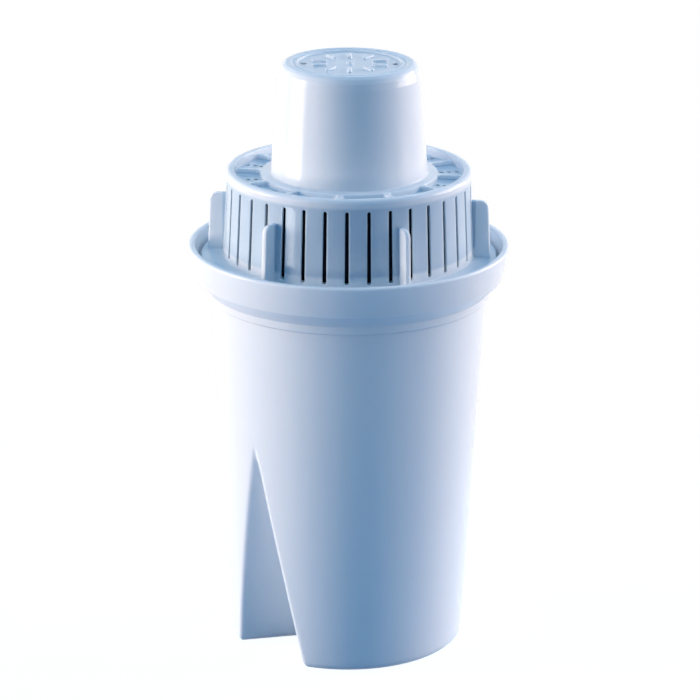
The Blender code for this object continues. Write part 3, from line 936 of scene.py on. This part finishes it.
def screen_finish():
    """Matt black thread."""
    material, add, link, shader = new_finish("black_mesh")
    place, tint = add("ShaderNodeTexCoord"), add("ShaderNodeValToRGB")
    mottle, grain = add("ShaderNodeTexNoise"), add("ShaderNodeTexNoise")
    link(place.outputs["Object"], mottle.inputs["Vector"])
    link(place.outputs["Object"], grain.inputs["Vector"])
    mottle.inputs["Scale"].default_value = 900
    grain.inputs["Scale"].default_value = 3000
    tint.color_ramp.elements[0].color = (0.004, 0.005, 0.014, 1)
    tint.color_ramp.elements[1].color = (0.010, 0.012, 0.028, 1)
    link(mottle.outputs["Fac"], tint.inputs["Fac"])
    link(tint.outputs["Color"], shader.inputs["Base Color"])
    bump_from(grain.outputs["Fac"], shader, add, link, 0.3, 0.1)
    rough_from(mottle.outputs["Fac"], shader, add, link, 0.7, 0.9)
    shader.inputs["Specular IOR Level"].default_value = 0.2
    return material


screen.data.materials.append(screen_finish())
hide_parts("inlet_screen")
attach(screen, "root")

# The room: a pale floor, clear from beneath, that runs into a white background; a soft
# lamp at each side, two low strips that show as stripes in the knob, a wide cool lamp
# overhead, and the camera where the photographer stood.
CAMERA_TURN = math.radians(45)
CAMERA_RISE = math.radians(18.2)
CAMERA_DISTANCE = 0.6968
CAMERA_LENS = 175.7
CAMERA_ROLL = math.radians(0.297)
CAMERA_SHIFT = 0.00266
LOOK_AT = Vector((0, 0, 0.061))


def place_facing(thing, turn, rise, distance):
    """Sets a camera or lamp at a turn and rise from the middle of the object, looking at it."""
    flat = math.cos(rise)
    away = Vector((math.sin(turn) * flat, -math.cos(turn) * flat, math.sin(rise)))
    aim = away.to_track_quat("Z", "Y").to_matrix().to_4x4()
    thing.matrix_world = Matrix.Translation(LOOK_AT + away * distance) @ aim


camera_data = bpy.data.cameras.new("camera")
camera_data.lens = CAMERA_LENS
camera_data.sensor_width = 36
camera_data.shift_x = CAMERA_SHIFT
camera = in_scene("camera", camera_data)
place_facing(camera, CAMERA_TURN, CAMERA_RISE, CAMERA_DISTANCE)
camera.matrix_world = camera.matrix_world @ Matrix.Rotation(CAMERA_ROLL, 4, "Z")
bpy.context.scene.camera = camera

LAMP_DISTANCE = 0.7
LAMPS = (  # name, turn from the camera and rise in degrees, width, height, watts, colour
    ("left_lamp", -88, 11, 0.38, 0.36, 6.2, (1.0, 0.83, 0.71)),
    ("left_strip", -54, -6.2, 0.10, 0.1, 0.54, (1.0, 0.95, 0.90)),
    ("right_strip", 45, -6.2, 0.50, 0.1, 0.26, (1.0, 0.98, 0.95)),
    ("right_lamp", 108, 14, 0.60, 0.38, 6.7, (1.0, 0.83, 0.74)),
    ("overhead", 0, 90, 2.4, 2.4, 10.0, (0.29, 0.66, 1.0)),
)
for name, turn, rise, width, height, power, colour in LAMPS:
    light = bpy.data.lights.new(name, "AREA")
    light.shape = "RECTANGLE"
    light.size, light.size_y = width, height
    light.energy, light.color = power, colour
    lamp = in_scene(name, light)
    place_facing(lamp, CAMERA_TURN + math.radians(turn), math.radians(rise), LAMP_DISTANCE)

TABLE_R = 0.35
FLOOR_GLOW = 0.93
SHADOW_NEAR, SHADOW_FAR = 0.07, 0.15
t = np.linspace(0, 2 * np.pi, 97)[:-1]
edge = around(TABLE_R + 0 * t, t, 0)
floor_mesh = bpy.data.meshes.new("floor")
floor_mesh.from_pydata(edge.tolist(), [], [tuple(range(len(t)))])
floor = in_scene("floor", floor_mesh)


def seen_ray(add, link):
    """1 for rays that show the background: straight from the camera, mirrored or passed on."""
    path = add("ShaderNodeLightPath")
    seen, also = add("ShaderNodeMath"), add("ShaderNodeMath")
    seen.operation = also.operation = "MAXIMUM"
    link(path.outputs["Is Camera Ray"], seen.inputs[0])
    link(path.outputs["Is Glossy Ray"], seen.inputs[1])
    link(seen.outputs[0], also.inputs[0])
    link(path.outputs["Is Transmission Ray"], also.inputs[1])
    return also.outputs[0]


def floor_finish():
    """Cool matt card that the camera sees as white, apart from the shadow near the object."""
    material, add, link, card = new_finish("floor_card")
    output = material.node_tree.nodes["Material Output"]
    place, mottle = add("ShaderNodeTexCoord"), add("ShaderNodeTexNoise")
    tint = add("ShaderNodeValToRGB")
    link(place.outputs["Object"], mottle.inputs["Vector"])
    mottle.inputs["Scale"].default_value = 30
    tint.color_ramp.elements[0].color = (0.08, 0.27, 0.46, 1)
    tint.color_ramp.elements[1].color = (0.11, 0.30, 0.49, 1)
    link(mottle.outputs["Fac"], tint.inputs["Fac"])
    link(tint.outputs["Color"], card.inputs["Base Color"])
    bump_from(mottle.outputs["Fac"], card, add, link, 0.05, 0.2)
    rough_from(mottle.outputs["Fac"], card, add, link, 0.85, 0.95)
    card.inputs["Specular IOR Level"].default_value = 0.0
    seen = seen_ray(add, link)
    glow, white = add("ShaderNodeEmission"), add("ShaderNodeEmission")
    sum_of_both = add("ShaderNodeAddShader")
    link(seen, glow.inputs["Strength"])
    glow.inputs["Color"].default_value = (FLOOR_GLOW, FLOOR_GLOW, FLOOR_GLOW, 1)
    link(card.outputs[0], sum_of_both.inputs[0])
    link(glow.outputs[0], sum_of_both.inputs[1])
    distance, fade = add("ShaderNodeVectorMath"), add("ShaderNodeMapRange")
    share, mix = add("ShaderNodeMath"), add("ShaderNodeMixShader")
    distance.operation = "LENGTH"
    link(place.outputs["Object"], distance.inputs[0])
    fade.interpolation_type = "SMOOTHSTEP"
    fade.inputs["From Min"].default_value = SHADOW_NEAR
    fade.inputs["From Max"].default_value = SHADOW_FAR
    link(distance.outputs["Value"], fade.inputs["Value"])
    share.operation = "MULTIPLY"
    link(fade.outputs[0], share.inputs[0])
    link(seen, share.inputs[1])
    link(share.outputs[0], mix.inputs[0])
    link(sum_of_both.outputs[0], mix.inputs[1])
    link(white.outputs[0], mix.inputs[2])
    side, clear = add("ShaderNodeNewGeometry"), add("ShaderNodeBsdfTransparent")
    open_below = add("ShaderNodeMixShader")
    link(side.outputs["Backfacing"], open_below.inputs[0])
    link(mix.outputs[0], open_below.inputs[1])
    link(clear.outputs[0], open_below.inputs[2])
    link(open_below.outputs[0], output.inputs["Surface"])
    return material


floor_mesh.materials.append(floor_finish())

FILL_COLOUR = (0.0, 0.055, 0.14)
world = bpy.data.worlds.new("room")
bpy.context.scene.world = world
world.use_nodes = True
world.node_tree.nodes.clear()
add, link = world.node_tree.nodes.new, world.node_tree.links.new
fill, white = add("ShaderNodeBackground"), add("ShaderNodeBackground")
mix, output = add("ShaderNodeMixShader"), add("ShaderNodeOutputWorld")
fill.inputs["Color"].default_value = (*FILL_COLOUR, 1)
white.inputs["Color"].default_value = (1, 1, 1, 1)
link(seen_ray(add, link), mix.inputs[0])
link(fill.outputs[0], mix.inputs[1])
link(white.outputs[0], mix.inputs[2])
link(mix.outputs[0], output.inputs["Surface"])
bpy.context.scene.view_settings.view_transform = "Standard"
